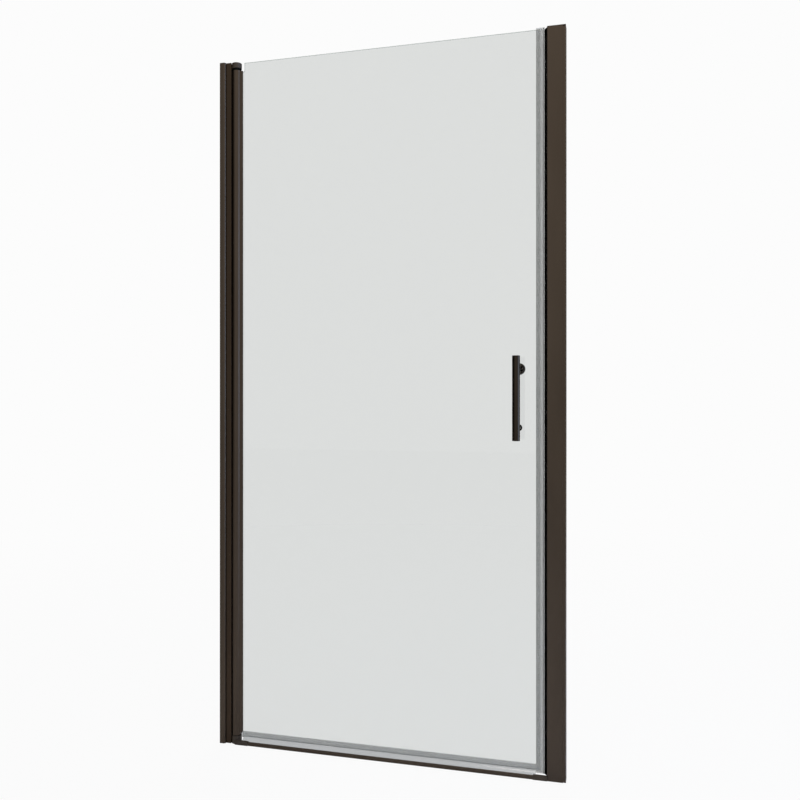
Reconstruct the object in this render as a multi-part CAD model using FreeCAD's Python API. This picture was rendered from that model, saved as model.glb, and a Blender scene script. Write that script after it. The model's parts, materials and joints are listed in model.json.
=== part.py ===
import FreeCAD, Part
import math
import os

# Framed pivot shower door for an alcove, seen closed. Millimetres.
# X runs along the opening from the hinge wall to the strike wall, Y points into the shower and
# Z is up. The origin is in the middle of the opening, on the curb, in the middle plane of the
# glass. The door turns about the upright axis of the pivot post and opens away from the shower.

# Opening
opening_width = 914.4
frame_height = 1829.0

# Extruded profiles
profile_wall = 1.8
nesting_gap = 0.3  # between profiles that slide into each other
seat_gap = 0.05  # between pieces that are seated by hand
press_gap = 0.01  # left round a pressed pin

# Hinge side: wall channel with hollow flanges, and the coved jamb inside it
hinge_channel_reach = 15.8
hinge_flange = 6.0
channel_round = 5.5
guide_wall = 1.5
hinge_jamb_depth = 21.4
nose_round = 1.5
cove_gap = 1.7
wiper_gap = 0.35
wiper_angle = 150.0
wiper_spread = 12.0

# Strike side: wall channel, and the C-shaped jamb over it
strike_reveal = 7.2
strike_face = 37.6
strike_jamb_depth = 30.0
strike_round = 1.5
strike_channel_reach = 32.0

# Caps on top of the profiles
cap_plate = 2.0
cap_spigot = 4.5
cap_spigot_length = 8.0

# Holes for the wall screws, in two pairs up each channel
wall_hole_radius = 2.75
outer_pair_spacing = 1600.0
inner_pair_spacing = 560.0

# Self-tapping screws
screw_radius = 1.9
screw_length = 12.0
screw_tip = 2.5
screw_head_radius = 3.4
screw_head_height = 2.2
screw_clearance = 0.3
pilot_clearance = 0.05
recess_width = 0.9
recess_span = 3.8
recess_depth = 1.1
fixing_margin = 150.0  # from the ends of the profiles to the first fixing screw
fixing_count = 3
hinge_screw_inset = 3.8
strike_screw_inset = 21.2

# Pivots
pivot_from_wall = 41.9
post_diameter = 25.0
post_bore = 18.0
pin_radius = 4.0
running_gap = 0.04  # radial, between a pin and its bush
neck_width = 10.0
tongue_length = 13.0
bracket_screw_inset = 7.0
boss_diameter = 26.6
upper_boss_drop = 0.6  # from the top of the caps
upper_boss_height = 14.2
upper_collar = 6.0
upper_gap = 0.3
upper_pin_length = 44.0
upper_pin_recess = 1.5
hex_recess = 4.0
hex_recess_depth = 3.0
lower_boss_height = 21.0
thrust_flange = 2.0
lower_pin_length = 52.0
lower_pin_floor = 3.0
bush_depth = 36.0
flange_inset = 0.3

# Glass and the clamp that holds it on the post
glass_thickness = 6.0
glass_bottom = 19.6
glass_top_drop = 1.0
glass_arris = 0.4
clamp_wall = 2.4
clamp_reach = 20.0  # from the pivot axis to the end of the front arm
clamp_back_reach = 15.6  # the back arm is shorter and stays hidden behind the front one
clamp_slot = 8.3
clamp_top_trim = 2.1
clamp_bottom_trim = 9.35
clamp_round = 0.8
gasket_thickness = 1.1
notch_margin = 1.5
top_notch_reach = 23.3
bottom_notch_reach = 18.3

# Strike edge: clear seal on the glass, black carrier on the jamb, and their magnet strips
strike_gap = 16.4  # glass edge to jamb
strike_seal_bottom = 12.5
strike_seal_rise = 2.0  # above the top of the caps
seal_grip = 11.0
seal_wall = 1.3
seal_web = 1.4
magnet_gap = 0.5
carrier_reach = 7.1
carrier_front = 12.8
carrier_tip_front = 2.3
carrier_back = 5.0
magnet_thickness = 2.4
magnet_width = 5.6
magnet_cover = 0.8
slot_mouth = 3.0
slot_lip = 1.2
slot_width = 6.0
slot_depth = 1.8
slot_gap = 0.15

# Threshold: a low wedge with end sleeves
threshold_front = 15.0
threshold_height = 9.8
threshold_crest = 3.3
threshold_depth = 16.0
threshold_toe = 1.4
threshold_wall = 1.1
sleeve_wall = 1.8
sleeve_grip = 20.0
sleeve_gap = 0.15
sleeve_from_pivot = 1.7
left_sleeve_end = 38.3  # from the pivot axis
right_sleeve_length = 34.8

# Bottom sweep: clear channel on the glass and a fin that reaches forward over the threshold
sweep_wall = 1.3
sweep_height = 12.3
sweep_left = 17.0  # from the pivot axis
fin_left = 22.0  # from the pivot axis
fin_thickness = 1.0
fin_reach = 9.2
fin_gap = 0.7
fin_trim_gap = 0.5
fin_trim_margin = 1.0

# Handle outside, knob inside
handle_setback = 53.9  # from the strike edge of the glass
handle_height = 927.3
handle_length = 205.4
handle_radius = 9.5
handle_reach = 49.0  # from the glass face to the bar's axis
handle_chamfer = 0.8
post_spacing = 145.0
post_radius_handle = 6.0
post_seat = 6.9
washer_thickness = 1.4
outer_washer_radius = 7.5
inner_washer_radius = 8.0
glass_hole_radius = 5.5
hole_sleeve_gap = 0.2
bolt_radius = 3.0
bolt_clearance = 0.2
bolt_in_post = 14.0
knob_radius = 14.6
knob_neck_radius = 7.0
knob_standoff = 15.6  # from the washer to the middle of the knob
knob_flat = 12.0  # from the middle of the knob to its flat face
knob_trim_margin = 1.0
bolt_in_knob = 16.0
cap_head_radius = 8.5
cap_head_height = 4.0
cap_head_round = 1.8

# Places that follow from the sizes above
left_wall = -opening_width / 2
right_wall = opening_width / 2
profile_top = frame_height - cap_plate
mid_height = profile_top / 2
pivot_x = left_wall + pivot_from_wall
post_radius = post_diameter / 2
bore_radius = post_bore / 2
cove_radius = post_radius + cove_gap
boss_radius = boss_diameter / 2

hinge_jamb_half = hinge_jamb_depth / 2
hinge_cavity_half = hinge_jamb_half + nesting_gap
hinge_channel_half = hinge_cavity_half + hinge_flange
hinge_channel_end = left_wall + hinge_channel_reach
hinge_jamb_start = left_wall + profile_wall + nesting_gap
hinge_hollow_half = hinge_jamb_half - profile_wall

strike_jamb_end = right_wall - strike_reveal
strike_jamb_start = strike_jamb_end - strike_face
strike_jamb_half = strike_jamb_depth / 2
strike_hollow_half = strike_jamb_half - profile_wall
strike_channel_half = strike_hollow_half - nesting_gap
strike_channel_start = right_wall - strike_channel_reach

upper_boss_top = frame_height - upper_boss_drop
upper_boss_bottom = upper_boss_top - upper_boss_height
post_top = upper_boss_bottom - upper_gap - upper_collar
post_bottom = lower_boss_height + seat_gap + thrust_flange
clamp_top = post_top - clamp_top_trim
clamp_bottom = post_bottom + clamp_bottom_trim
tongue_half = hinge_hollow_half - nesting_gap
tongue_back = cove_radius + profile_wall + nesting_gap
tongue_start = pivot_x - tongue_back - tongue_length
upper_tongue_top = profile_top - cap_spigot - nesting_gap
bracket_screw_x = tongue_start + bracket_screw_inset

glass_half = glass_thickness / 2
glass_edge = strike_jamb_start - strike_gap
glass_top = frame_height - glass_top_drop
clamp_half = glass_half + gasket_thickness + clamp_wall
slot_half = glass_half + gasket_thickness
slot_floor = pivot_x + clamp_reach - clamp_slot
clamp_end = pivot_x + clamp_reach
clamp_back_end = pivot_x + clamp_back_reach

sleeve_height = threshold_height + sleeve_wall
sleeve_front = threshold_front + sleeve_wall
left_sleeve_x = pivot_x + left_sleeve_end
right_sleeve_x = strike_jamb_start - right_sleeve_length
threshold_left = left_sleeve_x - sleeve_grip
threshold_right = strike_jamb_start - sleeve_wall - nesting_gap

handle_x = glass_edge - handle_setback
bar_y = -glass_half - handle_reach
handle_heights = (handle_height - post_spacing / 2, handle_height + post_spacing / 2)
outer_washer_face = -glass_half - washer_thickness
inner_washer_face = glass_half + washer_thickness
knob_y = inner_washer_face + knob_standoff

pieces = {}


def point(x, y, z=0.0):
    return FreeCAD.Vector(x, y, z)


def block(x_range, y_range, z_range):
    size = [high - low for low, high in (x_range, y_range, z_range)]
    return Part.makeBox(*size, point(x_range[0], y_range[0], z_range[0]))


def both_sides(half):
    return (-half, half)


def upright(radius, x, y, z_range):
    """A cylinder that stands along Z."""
    return Part.makeCylinder(radius, z_range[1] - z_range[0], point(x, y, z_range[0]))


def crosswise(radius, x, z, y_range):
    """A cylinder that lies along Y."""
    length = y_range[1] - y_range[0]
    return Part.makeCylinder(radius, length, point(x, y_range[0], z), point(0, 1, 0))


def lengthwise(radius, y, z, x_range):
    """A cylinder that lies along X."""
    length = x_range[1] - x_range[0]
    return Part.makeCylinder(radius, length, point(x_range[0], y, z), point(1, 0, 0))


def plan_prism(outline, z_range):
    """An outline of (x, y) points, extruded upwards."""
    corners = [point(x, y, z_range[0]) for x, y in outline]
    face = Part.Face(Part.makePolygon(corners + corners[:1]))
    return face.extrude(point(0, 0, z_range[1] - z_range[0]))


def side_prism(outline, x_range):
    """An outline of (y, z) points, extruded along X."""
    corners = [point(x_range[0], y, z) for y, z in outline]
    face = Part.Face(Part.makePolygon(corners + corners[:1]))
    return face.extrude(point(x_range[1] - x_range[0], 0, 0))


def edges_through(solid, places, axes):
    """The straight edges whose two ends both lie on one of the places, measured on two axes."""
    found = []
    for edge in solid.Edges:
        ends = [[getattr(vertex.Point, axis) for axis in axes] for vertex in edge.Vertexes]
        if len(ends) != 2:
            continue
        for place in places:
            if all(math.dist(end, place) < 0.01 for end in ends):
                found.append(edge)
    return found


def round_uprights(solid, corners, radius):
    """Rounds the upright edges that stand on these (x, y) corners."""
    return solid.makeFillet(radius, edges_through(solid, corners, "xy"))


def fixing_heights():
    """Evenly spaced heights for the screws that hold a jamb to its wall channel."""
    step = (profile_top - 2 * fixing_margin) / (fixing_count - 1)
    return [fixing_margin + step * number for number in range(fixing_count)]


def wall_screw_heights():
    halves = (outer_pair_spacing / 2, inner_pair_spacing / 2)
    return [mid_height + side * half for half in halves for side in (-1, 1)]


def screw(x, face_y, z):
    """A self-tapping screw whose head rests on a face that looks into the shower."""
    head_top = face_y + screw_head_height
    head = crosswise(screw_head_radius, x, z, (face_y, head_top))
    rim = [e for e in head.Edges if e.Closed and abs(e.CenterOfMass.y - head_top) < 0.01]
    head = head.makeFillet(0.6 * screw_head_height, rim)
    shank_end = face_y - screw_length + screw_tip
    shank = crosswise(screw_radius, x, z, (shank_end, face_y))
    tip = Part.makeCone(screw_radius, 0, screw_tip, point(x, shank_end, z), point(0, -1, 0))
    body = head.fuse([shank, tip])
    recess_y = (head_top - recess_depth, head_top)
    narrow = both_sides(recess_width / 2)
    wide = both_sides(recess_span / 2)
    for x_size, z_size in ((narrow, wide), (wide, narrow)):
        slot = block(
            (x + x_size[0], x + x_size[1]), recess_y, (z + z_size[0], z + z_size[1])
        )
        body = body.cut(slot)
    return body


def hole_for_screw(x, z, y_range):
    return crosswise(screw_radius + screw_clearance, x, z, y_range)


def pilot_for_screw(x, z, y_range):
    return crosswise(screw_radius + pilot_clearance, x, z, y_range)


def screw_x(side):
    return left_wall + hinge_screw_inset if side == "hinge" else right_wall - strike_screw_inset


# Hinge side


def hinge_channel_outline(z_range):
    solid = block((left_wall, hinge_channel_end), both_sides(hinge_channel_half), z_range)
    corners = [(hinge_channel_end, y) for y in both_sides(hinge_channel_half)]
    return round_uprights(solid, corners, min(channel_round, hinge_flange - nesting_gap))


def hinge_wall_channel():
    full = (0, profile_top)
    solid = hinge_channel_outline(full)
    web_face = left_wall + profile_wall
    solid = solid.cut(block((web_face, hinge_channel_end), both_sides(hinge_cavity_half), full))
    chamber_x = (web_face, hinge_channel_end - channel_round)
    chamber_y = (hinge_cavity_half + guide_wall, hinge_channel_half - profile_wall)
    solid = solid.cut(block(chamber_x, chamber_y, full))
    solid = solid.cut(block(chamber_x, (-chamber_y[1], -chamber_y[0]), full))
    for z in wall_screw_heights():
        solid = solid.cut(lengthwise(wall_hole_radius, 0, z, (left_wall, web_face)))
    for z in fixing_heights():
        solid = solid.cut(
            hole_for_screw(screw_x("hinge"), z, (hinge_cavity_half, hinge_channel_half))
        )
    return solid


def hinge_jamb_outline(x_start, half, radius, z_range):
    """The jamb's section, which ends in a cove concentric with the pivot post."""
    solid = block((x_start, pivot_x), both_sides(half), z_range)
    return solid.cut(upright(radius, pivot_x, 0, z_range))


def rounded_hinge_jamb(x_start, z_range):
    solid = hinge_jamb_outline(x_start, hinge_jamb_half, cove_radius, z_range)
    nose_x = pivot_x - math.sqrt(cove_radius**2 - hinge_jamb_half**2)
    noses = [(nose_x, y) for y in both_sides(hinge_jamb_half)]
    return round_uprights(solid, noses, nose_round)


def neck_slot(z_range):
    """The way through the cove for the neck of a pivot bracket."""
    half = neck_width / 2 + nesting_gap
    return block((pivot_x - tongue_back, pivot_x), both_sides(half), z_range)


def hinge_jamb():
    full = (0, profile_top)
    solid = rounded_hinge_jamb(hinge_jamb_start, full)
    hollow_radius = cove_radius + profile_wall
    hollow = hinge_jamb_outline(hinge_jamb_start, hinge_hollow_half, hollow_radius, full)
    solid = solid.cut(hollow)
    solid = solid.cut(neck_slot((0, sleeve_height + nesting_gap)))
    solid = solid.cut(neck_slot((upper_boss_bottom - nesting_gap, profile_top)))
    side_wall = (hinge_hollow_half, hinge_jamb_half)
    for z in fixing_heights():
        solid = solid.cut(pilot_for_screw(screw_x("hinge"), z, side_wall))
    for z in bracket_screw_heights():
        solid = solid.cut(hole_for_screw(bracket_screw_x, z, side_wall))
    return solid


def hinge_cap():
    plate = (profile_top, frame_height)
    solid = hinge_channel_outline(plate).fuse(rounded_hinge_jamb(hinge_jamb_start, plate))
    spigot_start = hinge_channel_end
    spigot_x = (spigot_start, spigot_start + cap_spigot_length)
    spigot = block(spigot_x, both_sides(tongue_half), (profile_top - cap_spigot, profile_top))
    return solid.fuse(spigot).removeSplitter()


def bracket_screw_heights():
    upper = (upper_boss_bottom + upper_tongue_top) / 2
    return (sleeve_height / 2, upper)


def pivot_tongue(z_range):
    """The tongue that fills the hollow of the jamb and the neck that joins it to the boss."""
    tongue = block((tongue_start, pivot_x), both_sides(tongue_half), z_range)
    tongue = tongue.cut(upright(tongue_back, pivot_x, 0, z_range))
    neck = block((tongue_start, pivot_x), both_sides(neck_width / 2), z_range)
    return tongue.fuse(neck)


def bracket_pilot(z):
    end = hinge_jamb_half - screw_length - seat_gap
    return pilot_for_screw(bracket_screw_x, z, (end, tongue_half))


def upper_pivot_bracket():
    boss_z = (upper_boss_bottom, upper_boss_top)
    solid = upright(boss_radius, pivot_x, 0, boss_z)
    solid = solid.fuse(pivot_tongue((upper_boss_bottom, upper_tongue_top)))
    solid = solid.cut(upright(pin_radius + press_gap, pivot_x, 0, boss_z))
    return solid.cut(bracket_pilot(bracket_screw_heights()[1]))


def threshold_section(grow):
    """The wedge of the threshold, as (y, z) points, grown outwards on its upper sides."""
    front = -threshold_front - grow
    crest_end = -threshold_front + threshold_crest + grow
    back = -threshold_front + threshold_depth + grow
    top = threshold_height + grow
    toe = threshold_toe + grow
    return [(front, 0), (front, top), (crest_end, top), (back, toe), (back, 0)]


def rounded_threshold(grow, x_range):
    solid = side_prism(threshold_section(grow), x_range)
    crest = [threshold_section(grow)[1]]
    return solid.makeFillet(0.8 * threshold_wall, edges_through(solid, crest, "yz"))


def lower_pivot_block():
    boss = upright(boss_radius, pivot_x, 0, (0, lower_boss_height))
    sleeve = rounded_threshold(sleeve_wall, (pivot_x + sleeve_from_pivot, left_sleeve_x))
    solid = sleeve.fuse([boss, pivot_tongue((0, sleeve_height))])
    pocket_x = (threshold_left - nesting_gap, left_sleeve_x)
    solid = solid.cut(side_prism(threshold_section(sleeve_gap), pocket_x))
    pin_z = (lower_pin_floor, lower_boss_height)
    solid = solid.cut(upright(pin_radius + press_gap, pivot_x, 0, pin_z))
    return solid.cut(bracket_pilot(bracket_screw_heights()[0]))


def upper_pivot_pin():
    top = upper_boss_top - upper_pin_recess
    pin = upright(pin_radius, pivot_x, 0, (top - upper_pin_length, top))
    corner_radius = hex_recess / math.sqrt(3)
    angles = [math.radians(60 * number) for number in range(6)]
    outline = [
        (pivot_x + corner_radius * math.cos(a), corner_radius * math.sin(a)) for a in angles
    ]
    return pin.cut(plan_prism(outline, (top - hex_recess_depth, top)))


def lower_pivot_pin():
    pin = upright(pin_radius, pivot_x, 0, (lower_pin_floor, lower_pin_floor + lower_pin_length))
    tip = [e for e in pin.Edges if e.Closed and e.CenterOfMass.z > lower_boss_height]
    return pin.makeChamfer(pin_radius / 4, tip)


def jamb_wiper_seal():
    """A soft strip on the back of the cove that closes the gap beside the post."""
    full = (lower_boss_height + nesting_gap, upper_boss_bottom - nesting_gap)
    ring = upright(cove_radius - press_gap, pivot_x, 0, full)
    ring = ring.cut(upright(post_radius + wiper_gap, pivot_x, 0, full))
    sides = [math.radians(wiper_angle + side * wiper_spread / 2) for side in (-1, 1)]
    far = 2 * cove_radius
    outline = [(pivot_x, 0)]
    outline += [(pivot_x + far * math.cos(a), far * math.sin(a)) for a in sides]
    return ring.common(plan_prism(outline, full))


# Strike side


def strike_wall_channel():
    full = (0, profile_top)
    solid = block((strike_channel_start, right_wall), both_sides(strike_channel_half), full)
    inner_half = strike_channel_half - profile_wall
    web_face = right_wall - profile_wall
    solid = solid.cut(block((strike_channel_start, web_face), both_sides(inner_half), full))
    for z in wall_screw_heights():
        solid = solid.cut(lengthwise(wall_hole_radius, 0, z, (web_face, right_wall)))
    for z in fixing_heights():
        flange = (inner_half, strike_channel_half)
        solid = solid.cut(pilot_for_screw(screw_x("strike"), z, flange))
    return solid


def strike_jamb_outline(x_end, z_range):
    solid = block((strike_jamb_start, x_end), both_sides(strike_jamb_half), z_range)
    corners = [(strike_jamb_start, y) for y in both_sides(strike_jamb_half)]
    return round_uprights(solid, corners, strike_round)


def seal_slot(clearance, z_range):
    """The T-shaped slot in the jamb for the carrier's foot, or with less clearance the foot."""
    start = strike_jamb_start
    lip_end = start + slot_lip
    mouth_half = slot_mouth / 2 + clearance
    mouth = block((start, lip_end), both_sides(mouth_half), z_range)
    head_x = (lip_end - clearance, lip_end + slot_depth + clearance)
    head = block(head_x, both_sides(slot_width / 2 + clearance), z_range)
    return mouth.fuse(head)


def strike_jamb():
    full = (0, profile_top)
    solid = strike_jamb_outline(strike_jamb_end, full)
    web_face = strike_jamb_start + profile_wall
    solid = solid.cut(block((web_face, strike_jamb_end), both_sides(strike_hollow_half), full))
    rib_end = strike_jamb_start + slot_lip + slot_depth + slot_gap + profile_wall
    rib_half = slot_width / 2 + slot_gap + profile_wall
    solid = solid.fuse(block((web_face, rib_end), both_sides(rib_half), full))
    solid = solid.cut(seal_slot(slot_gap, full))
    for z in fixing_heights():
        side_wall = (strike_hollow_half, strike_jamb_half)
        solid = solid.cut(hole_for_screw(screw_x("strike"), z, side_wall))
    return solid


def strike_cap():
    plate = (profile_top, frame_height)
    solid = strike_jamb_outline(right_wall, plate)
    spigot_half = strike_channel_half - profile_wall - nesting_gap
    spigot_end = right_wall - profile_wall - nesting_gap
    spigot_x = (spigot_end - cap_spigot_length, spigot_end)
    spigot = block(spigot_x, both_sides(spigot_half), (profile_top - cap_spigot, profile_top))
    return solid.fuse(spigot).removeSplitter()


def jamb_magnet_place():
    """The x and y ranges of the magnet strip in the jamb's carrier."""
    tip = strike_jamb_start - carrier_reach
    x_range = (tip + magnet_cover, tip + magnet_cover + magnet_thickness)
    y_high = carrier_back - magnet_cover
    return x_range, (y_high - magnet_width, y_high)


def door_magnet_place():
    """The x and y ranges of the magnet strip in the door's seal, facing the jamb's."""
    face = strike_jamb_start - carrier_reach - magnet_gap
    x_range = (face - magnet_cover - magnet_thickness, face - magnet_cover)
    return x_range, jamb_magnet_place()[1]


def grown(ranges, clearance):
    return [(low - clearance, high + clearance) for low, high in ranges]


def carrier_range():
    return (sleeve_height + nesting_gap, profile_top)


def jamb_magnet_carrier():
    start = strike_jamb_start
    tip = start - carrier_reach
    outline = [
        (start, -carrier_front),
        (start, carrier_back),
        (tip, carrier_back),
        (tip, -carrier_tip_front),
    ]
    solid = plan_prism(outline, carrier_range())
    solid = solid.fuse(seal_slot(0, carrier_range()))
    magnet = grown(jamb_magnet_place(), press_gap)
    return solid.cut(block(*magnet, carrier_range()))


def jamb_magnet_strip():
    return block(*jamb_magnet_place(), carrier_range())


def flank_x(y):
    """Where the carrier's slanted flank lies at this depth."""
    share = (y + carrier_front) / (carrier_front - carrier_tip_front)
    return strike_jamb_start - carrier_reach * min(max(share, 0), 1)


def strike_seal_range():
    return (strike_seal_bottom, frame_height + strike_seal_rise)


def strike_seal():
    outer = glass_half + seal_wall
    grip_x = glass_edge - seal_grip
    web_end = glass_edge + seat_gap + seal_web
    face = strike_jamb_start - carrier_reach - magnet_gap
    solid = block((grip_x, web_end), both_sides(outer), strike_seal_range())
    slot_x = (grip_x, glass_edge + seat_gap)
    solid = solid.cut(block(slot_x, both_sides(glass_half), strike_seal_range()))
    housing_back = carrier_back
    outline = [
        (web_end, -outer),
        (flank_x(-outer) - magnet_gap, -outer),
        (face, -carrier_tip_front),
        (face, housing_back),
        (web_end, housing_back),
    ]
    housing = plan_prism(outline, strike_seal_range())
    magnet = grown(door_magnet_place(), press_gap)
    solid = solid.fuse(housing).removeSplitter()
    return solid.cut(block(*magnet, strike_seal_range()))


def door_magnet_strip():
    return block(*door_magnet_place(), strike_seal_range())


# Threshold


def threshold_bar():
    x_range = (threshold_left, threshold_right)
    solid = rounded_threshold(0, x_range)
    wall = threshold_wall
    front, top = -threshold_front + wall, threshold_height - wall
    crest_end = -threshold_front + threshold_crest - wall / 2
    back = -threshold_front + threshold_depth - 4 * wall
    hollow = [(front, wall), (front, top), (crest_end, top), (back, wall)]
    return solid.cut(side_prism(hollow, x_range))


def threshold_end_cap():
    solid = rounded_threshold(sleeve_wall, (right_sleeve_x, strike_jamb_start))
    pocket_x = (right_sleeve_x, strike_jamb_start - sleeve_wall)
    return solid.cut(side_prism(threshold_section(sleeve_gap), pocket_x))


# Door leaf


def clamp_arms(half, z_range):
    """The space of the clamp's two arms, of which the back one ends sooner."""
    solid = block((pivot_x, clamp_end), both_sides(half), z_range)
    return solid.cut(block((clamp_back_end, clamp_end), (glass_half, half), z_range))


def door_stile():
    full = (post_bottom, post_top)
    solid = upright(post_radius, pivot_x, 0, full)
    lips = [(clamp_end, -clamp_half), (clamp_back_end, clamp_half)]
    solid = solid.fuse(round_uprights(clamp_arms(clamp_half, full), lips, clamp_round))
    solid = solid.cut(upright(bore_radius, pivot_x, 0, full))
    solid = solid.cut(block((slot_floor, clamp_end), both_sides(slot_half), full))
    beyond_post = (pivot_x + post_radius, clamp_end)
    for trim in ((post_bottom, clamp_bottom), (clamp_top, post_top)):
        solid = solid.cut(block(beyond_post, both_sides(clamp_half), trim))
    return solid


def glazing_gasket():
    span = (clamp_bottom, clamp_top)
    solid = clamp_arms(slot_half, span)
    solid = solid.common(block((slot_floor, clamp_end), both_sides(slot_half), span))
    glass_x = (slot_floor + gasket_thickness, clamp_end)
    return solid.cut(block(glass_x, both_sides(glass_half), span))


def glass_panel():
    start = slot_floor + gasket_thickness
    solid = block((start, glass_edge), both_sides(glass_half), (glass_bottom, glass_top))
    top_notch = (clamp_top - notch_margin, glass_top)
    bottom_notch = (glass_bottom, clamp_bottom + notch_margin)
    notches = ((top_notch, top_notch_reach), (bottom_notch, bottom_notch_reach))
    for z_range, reach in notches:
        solid = solid.cut(block((start, pivot_x + reach), both_sides(glass_half), z_range))
    top_edges = [(y, glass_top) for y in both_sides(glass_half)]
    solid = solid.makeChamfer(glass_arris, edges_through(solid, top_edges, "yz"))
    for z in handle_heights:
        solid = solid.cut(crosswise(glass_hole_radius, handle_x, z, both_sides(glass_half)))
    return solid


def bush(flange_z, spigot_z):
    """A nylon bush: a flange between the post and its pivot block, and a spigot in the bore."""
    solid = upright(post_radius - flange_inset, pivot_x, 0, flange_z)
    solid = solid.fuse(upright(bore_radius - seat_gap, pivot_x, 0, spigot_z))
    whole = (min(flange_z[0], spigot_z[0]), max(flange_z[1], spigot_z[1]))
    return solid.cut(upright(pin_radius + running_gap, pivot_x, 0, whole))


def upper_pivot_bush():
    return bush((post_top, post_top + upper_collar), (post_top - bush_depth, post_top))


def lower_pivot_bush():
    flange_z = (post_bottom - thrust_flange, post_bottom)
    return bush(flange_z, (post_bottom, post_bottom + bush_depth))


def bottom_sweep():
    start = pivot_x + sweep_left
    end = glass_edge - seal_grip
    outer = glass_half + sweep_wall
    floor = glass_bottom - sweep_wall
    top = glass_bottom + sweep_height
    solid = block((start, end), both_sides(outer), (floor, top))
    solid = solid.cut(block((start, end), both_sides(glass_half), (glass_bottom, top)))
    tip_y = -outer - fin_reach
    tip_z = threshold_height + fin_gap
    fin = [
        (-outer, glass_bottom),
        (tip_y, tip_z + fin_thickness),
        (tip_y, tip_z),
        (-outer + fin_thickness, floor),
        (-outer + fin_thickness, glass_bottom),
    ]
    solid = solid.fuse(side_prism(fin, (pivot_x + fin_left, end))).removeSplitter()
    trim_z = (tip_z - fin_gap, sleeve_height + fin_trim_gap)
    sleeve_corner = math.hypot(left_sleeve_end + fin_trim_margin, sleeve_front)
    left_reach = math.sqrt(sleeve_corner**2 - tip_y**2)
    fin_y = (tip_y - fin_trim_margin, outer)
    solid = solid.cut(block((start, pivot_x + left_reach), fin_y, trim_z))
    if right_sleeve_x - fin_trim_margin < end:
        solid = solid.cut(block((right_sleeve_x - fin_trim_margin, end), fin_y, trim_z))
    return solid


# Handle


def end_rims(solid, values, axis):
    return [
        edge
        for edge in solid.Edges
        if edge.Closed and any(abs(getattr(edge.CenterOfMass, axis) - v) < 0.01 for v in values)
    ]


def handle_bar():
    ends = (handle_height - handle_length / 2, handle_height + handle_length / 2)
    solid = upright(handle_radius, handle_x, bar_y, ends)
    solid = solid.makeChamfer(handle_chamfer, end_rims(solid, ends, "z"))
    seat = (bar_y + handle_radius - post_seat, bar_y + handle_radius)
    for z in handle_heights:
        solid = solid.cut(crosswise(post_radius_handle + press_gap, handle_x, z, seat))
    return solid


def handle_posts():
    start = bar_y + handle_radius - post_seat + seat_gap
    posts = []
    for z in handle_heights:
        post = crosswise(post_radius_handle, handle_x, z, (start, outer_washer_face))
        thread = (outer_washer_face - bolt_in_post, outer_washer_face)
        posts.append(post.cut(crosswise(bolt_radius + press_gap, handle_x, z, thread)))
    return Part.makeCompound(posts)


def washers(radius, y_range):
    rings = []
    for z in handle_heights:
        ring = crosswise(radius, handle_x, z, y_range)
        rings.append(ring.cut(crosswise(bolt_radius + bolt_clearance, handle_x, z, y_range)))
    return Part.makeCompound(rings)


def upper_handle_stud():
    span = (outer_washer_face - bolt_in_post + seat_gap, inner_washer_face + bolt_in_knob - seat_gap)
    return crosswise(bolt_radius, handle_x, handle_heights[1], span)


def lower_handle_screw():
    x, z = handle_x, handle_heights[0]
    head_top = inner_washer_face + cap_head_height
    head = crosswise(cap_head_radius, x, z, (inner_washer_face, head_top))
    head = head.makeFillet(cap_head_round, end_rims(head, [head_top], "y"))
    shank_start = outer_washer_face - bolt_in_post + seat_gap
    return head.fuse(crosswise(bolt_radius, x, z, (shank_start, inner_washer_face)))


def inside_knob():
    x, z = handle_x, handle_heights[1]
    ball = Part.makeSphere(knob_radius, point(0, knob_y, 0), point(0, 1, 0))
    neck = crosswise(knob_neck_radius, 0, 0, (inner_washer_face, knob_y))
    around = both_sides(knob_radius + knob_trim_margin)
    keep = block(around, (inner_washer_face, knob_y + knob_flat), around)
    solid = ball.fuse(neck).common(keep)
    thread = (inner_washer_face, inner_washer_face + bolt_in_knob)
    solid = solid.cut(crosswise(bolt_radius + press_gap, 0, 0, thread))
    solid.translate(point(x, 0, z))
    return solid


def fixing_screws(side, face_y):
    return Part.makeCompound([screw(screw_x(side), face_y, z) for z in fixing_heights()])


def bracket_screws():
    heights = bracket_screw_heights()
    return Part.makeCompound([screw(bracket_screw_x, hinge_jamb_half, z) for z in heights])


# Frame
pieces["hinge_wall_channel"] = hinge_wall_channel()
pieces["hinge_jamb"] = hinge_jamb()
pieces["hinge_cap"] = hinge_cap()
pieces["hinge_fixing_screws"] = fixing_screws("hinge", hinge_channel_half)
pieces["upper_pivot_bracket"] = upper_pivot_bracket()
pieces["lower_pivot_block"] = lower_pivot_block()
pieces["bracket_screws"] = bracket_screws()
pieces["upper_pivot_pin"] = upper_pivot_pin()
pieces["lower_pivot_pin"] = lower_pivot_pin()
pieces["jamb_wiper_seal"] = jamb_wiper_seal()
pieces["strike_wall_channel"] = strike_wall_channel()
pieces["strike_jamb"] = strike_jamb()
pieces["strike_cap"] = strike_cap()
pieces["strike_fixing_screws"] = fixing_screws("strike", strike_jamb_half)
pieces["jamb_magnet_carrier"] = jamb_magnet_carrier()
pieces["jamb_magnet_strip"] = jamb_magnet_strip()
pieces["threshold_bar"] = threshold_bar()
pieces["threshold_end_cap"] = threshold_end_cap()

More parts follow.
